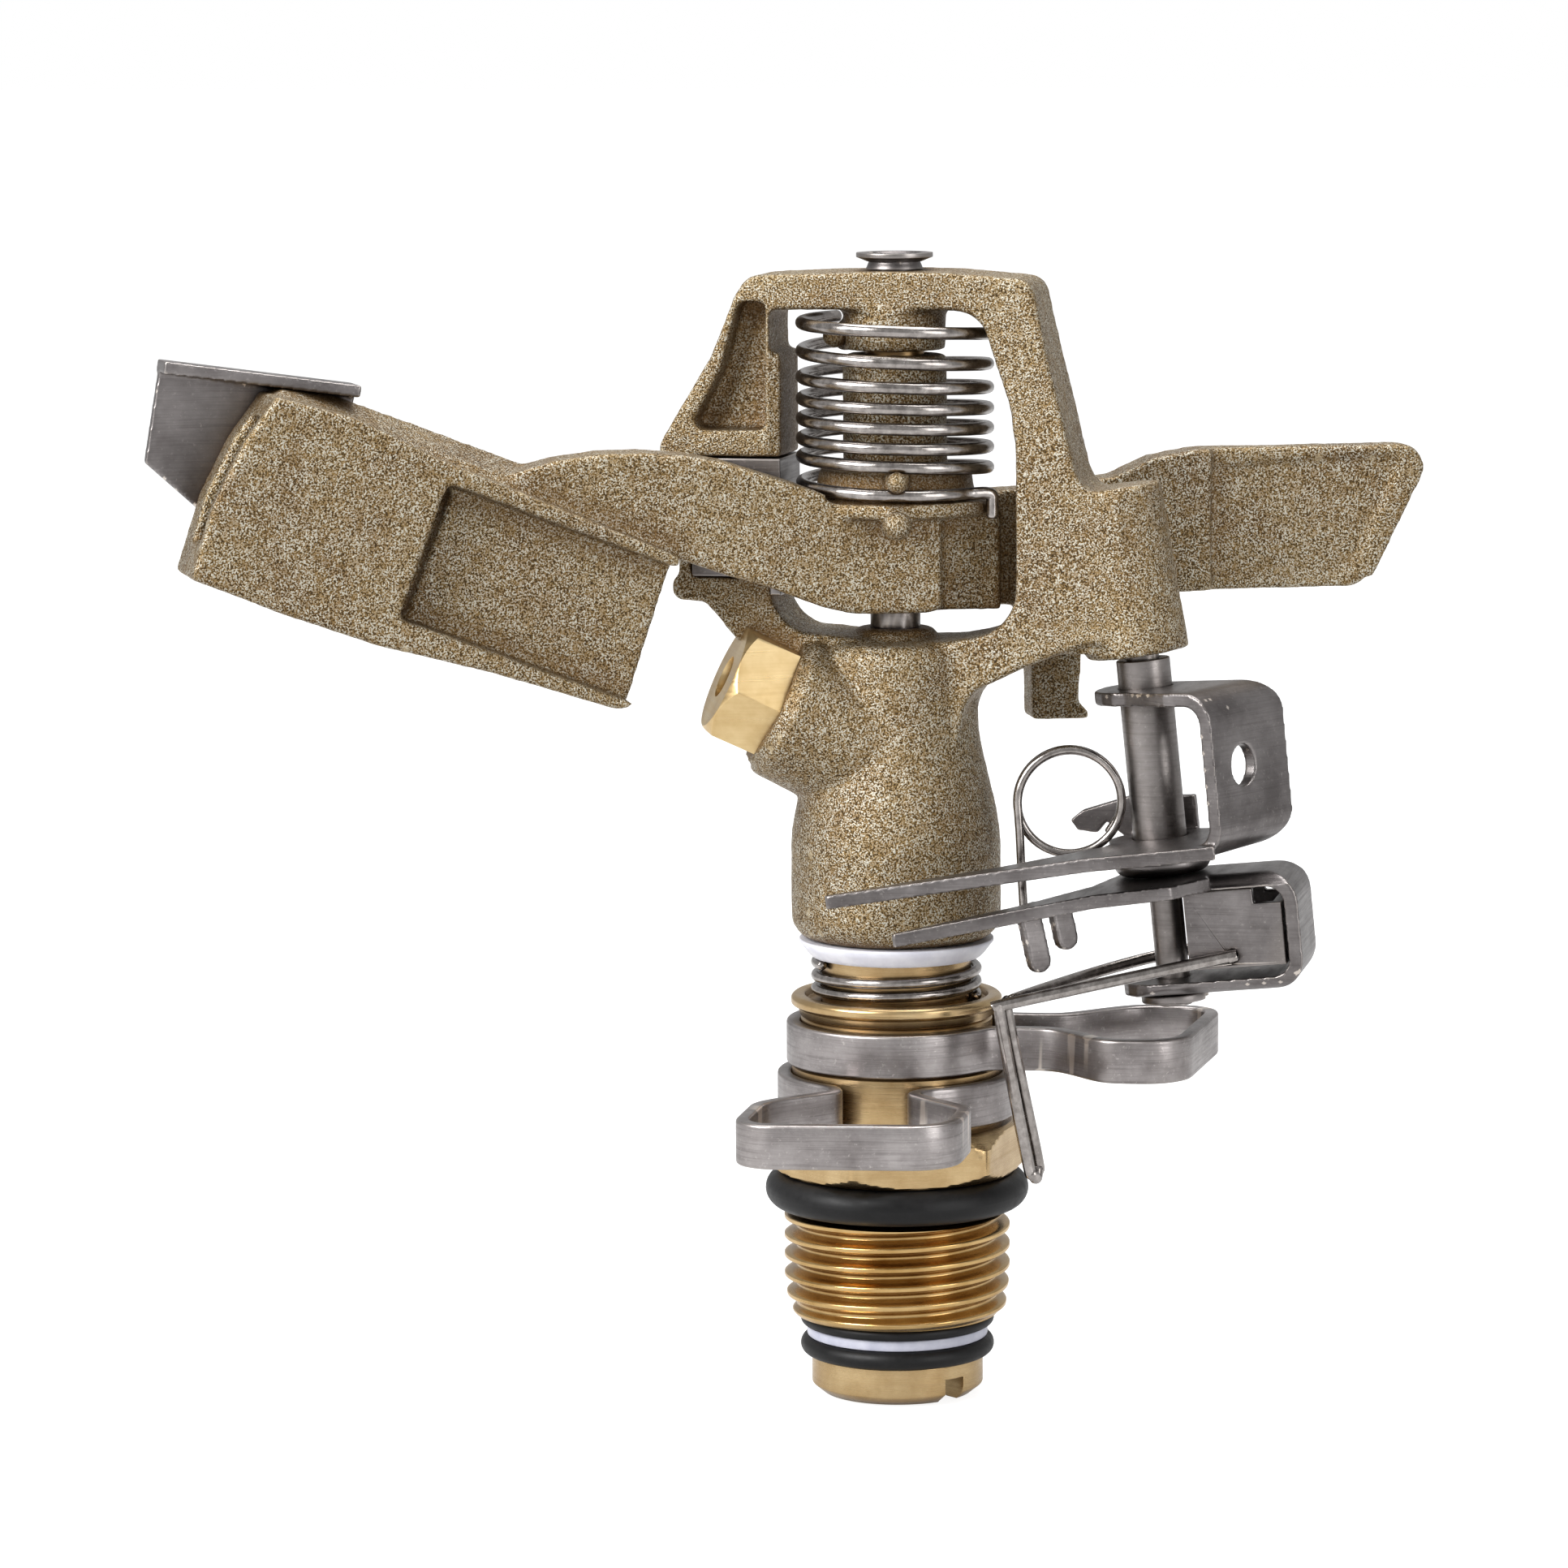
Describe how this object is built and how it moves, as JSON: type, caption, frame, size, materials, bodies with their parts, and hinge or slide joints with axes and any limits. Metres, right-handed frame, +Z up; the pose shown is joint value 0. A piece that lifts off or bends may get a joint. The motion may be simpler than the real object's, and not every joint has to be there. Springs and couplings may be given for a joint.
{
  "type": "impact sprinkler",
  "caption": "Part-circle impact sprinkler: cast bronze bridge head and spring arm with spoon and paddle, steel trip linkage, arc collars, male pipe inlet.",
  "frame": {"origin": "on the rotation axis, at the underside of the wrench hexagon, where the inlet thread ends and the riser seal sits", "axes": "+Z up along the rotation axis, away from the riser; the bridge lies in the XZ plane with the nozzle and spoon towards -X and the trip shaft towards +X; -Y is the front"},
  "size_m": [0.1091, 0.0585, 0.1056],
  "materials": {
    "cast_bronze": "sand-cast, unpolished",
    "machined_brass": "turned, bright",
    "stainless": "brushed",
    "spring_steel": "drawn wire, polished",
    "seal_rubber": "smooth, slightly glossy",
    "white_plastic": "satin"
  },
  "bodies": {
    "inlet": {"bearing_sleeve": "machined_brass", "riser_seal": "seal_rubber"},
    "head": {"bearing_nipple": "machined_brass", "lower_bearing_seal": "seal_rubber", "bearing_slip_washer": "white_plastic", "upper_bearing_seal": "seal_rubber", "spring_seat_washer": "machined_brass", "bearing_spring": "spring_steel", "dust_washer": "white_plastic", "head_casting": "cast_bronze", "nozzle": "machined_brass", "fulcrum_pin": "stainless", "strike_plate": "stainless", "trip_pin": "stainless", "trip_spacer": "stainless", "trip_thrust_washer": "stainless", "trip_pin_clip": "spring_steel"},
    "arm": {"arm_casting": "cast_bronze", "arm_bushings": "machined_brass", "stream_deflector": "stainless", "deflector_rivets": "stainless", "arm_spring": "spring_steel"},
    "lever": {"trip_lever": "stainless", "trip_wire_holder": "stainless", "trip_wire": "spring_steel", "toggle_spring": "spring_steel"},
    "dog": {"trip_dog": "stainless"},
    "upper_collar": {"upper_arc_collar": "stainless"},
    "lower_collar": {"lower_arc_collar": "stainless"}
  },
  "joints": [
    {"name": "head_rotation", "type": "hinge", "parent": "inlet", "child": "head", "pos_m": [0, 0, 0], "axis": [0, 0, 1], "range_deg": [-19, 14]},
    {"name": "arm_swing", "type": "hinge", "parent": "head", "child": "arm", "pos_m": [0, 0, 0.06], "axis": [0, 0, 1], "range_deg": [0, 98], "deforming": ["arm_spring"]},
    {"name": "trip_lever_pivot", "type": "hinge", "parent": "head", "child": "lever", "pos_m": [0.0229, 0, 0.048], "axis": [-0.0993, 0, 0.9951], "range_deg": [-12, 0], "deforming": ["toggle_spring"]},
    {"name": "trip_dog_pivot", "type": "hinge", "parent": "head", "child": "dog", "pos_m": [0.0229, 0, 0.048], "axis": [-0.0993, 0, 0.9951], "range_deg": [0, 19.2]},
    {"name": "upper_collar_turn", "type": "hinge", "parent": "inlet", "child": "upper_collar", "pos_m": [0, 0, 0.012], "axis": [0, 0, 1], "range_deg": [0, 180]},
    {"name": "lower_collar_turn", "type": "hinge", "parent": "inlet", "child": "lower_collar", "pos_m": [0, 0, 0.007], "axis": [0, 0, 1], "range_deg": [-180, 0]}
  ],
  "couplings": [
    {"joint": "trip_dog_pivot", "follows": "trip_lever_pivot", "ratio": -1.6}
  ]
}
